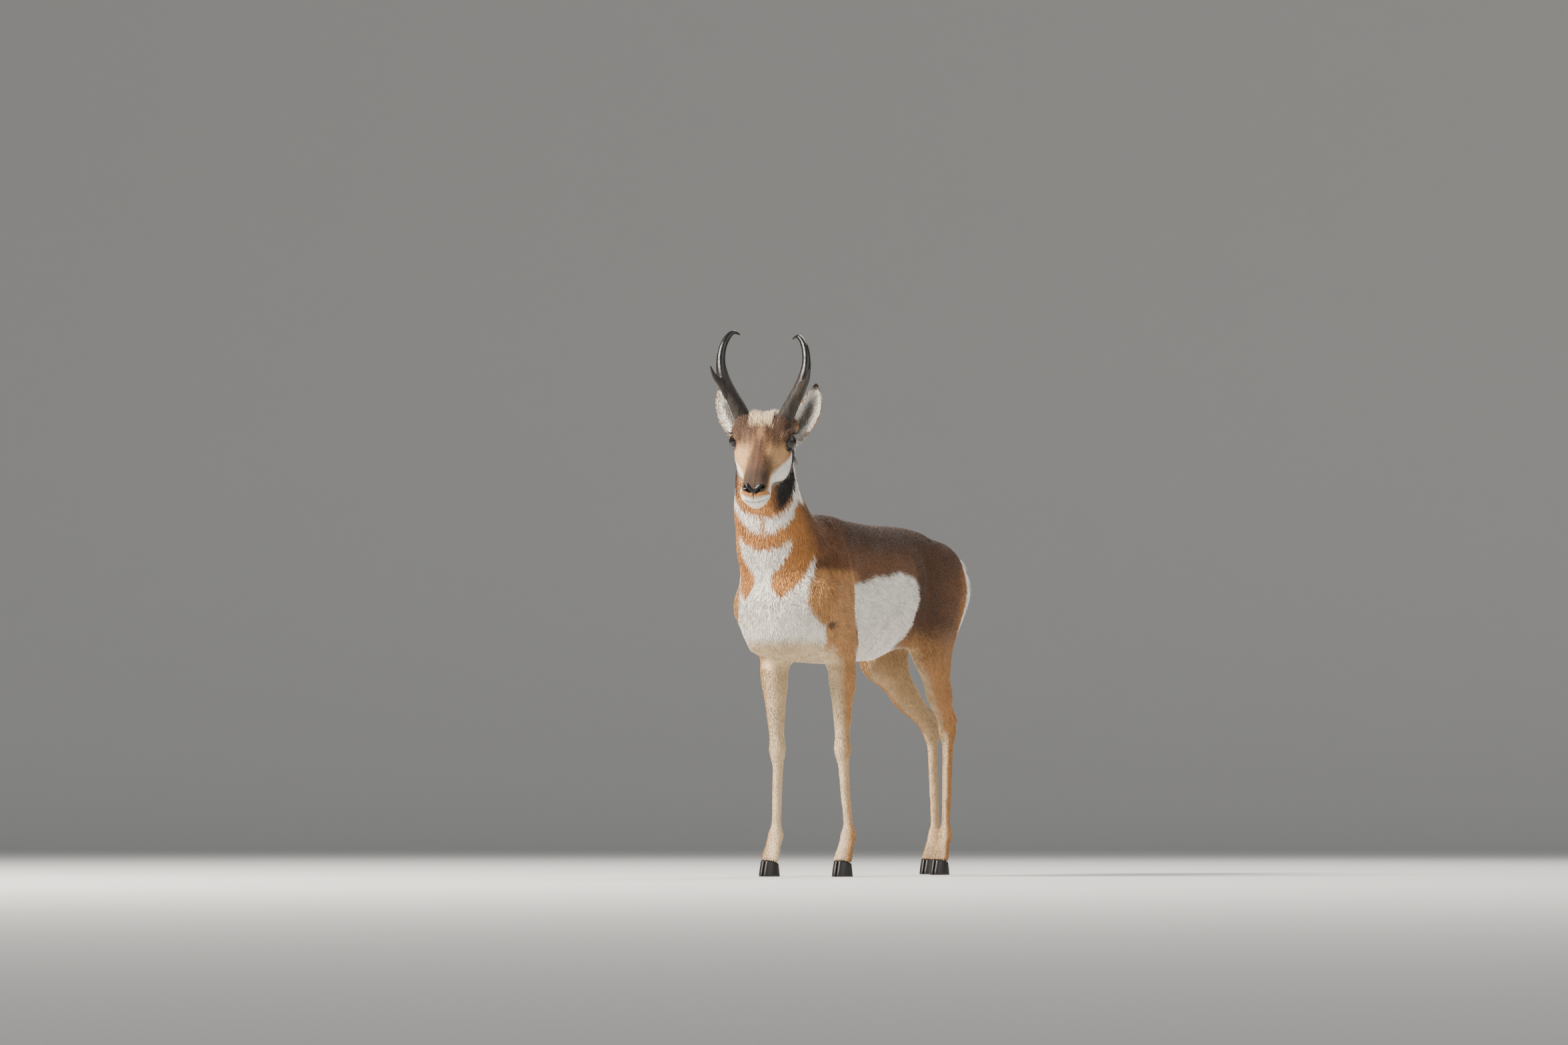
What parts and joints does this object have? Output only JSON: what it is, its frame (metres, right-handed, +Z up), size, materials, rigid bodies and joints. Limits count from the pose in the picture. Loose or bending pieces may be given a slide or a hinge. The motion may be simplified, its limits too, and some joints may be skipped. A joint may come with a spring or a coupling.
{
  "type": "pronghorn",
  "caption": "Pronghorn buck standing with its head turned a little to its left, forked black horns, banded throat and cloven feet.",
  "frame": {"origin": "middle of the box's bottom, on the floor between the four feet", "axes": "the animal faces -Y, its left side is +X, +Z up"},
  "size_m": [0.3056, 1.248, 1.2933],
  "materials": {
    "coat": "short coarse hair, tan, dark brown and white",
    "eye": "wet and glossy",
    "horn": "rough sheath below, polished above",
    "hoof": "satin horn"
  },
  "bodies": {
    "root": {"eye_left": "eye", "horn_left": "horn", "ear_left": "coat", "eye_right": "eye", "horn_right": "horn", "ear_right": "coat", "head": "coat", "neck": "coat", "torso": "coat", "tail": "coat", "foreleg_left": "coat", "foreleg_left_hoof_outer": "hoof", "foreleg_left_hoof_inner": "hoof", "foreleg_right": "coat", "foreleg_right_hoof_outer": "hoof", "foreleg_right_hoof_inner": "hoof", "hindleg_left": "coat", "hindleg_left_hoof_outer": "hoof", "hindleg_left_hoof_inner": "hoof", "hindleg_right": "coat", "hindleg_right_hoof_outer": "hoof", "hindleg_right_hoof_inner": "hoof"}
  },
  "joints": []
}
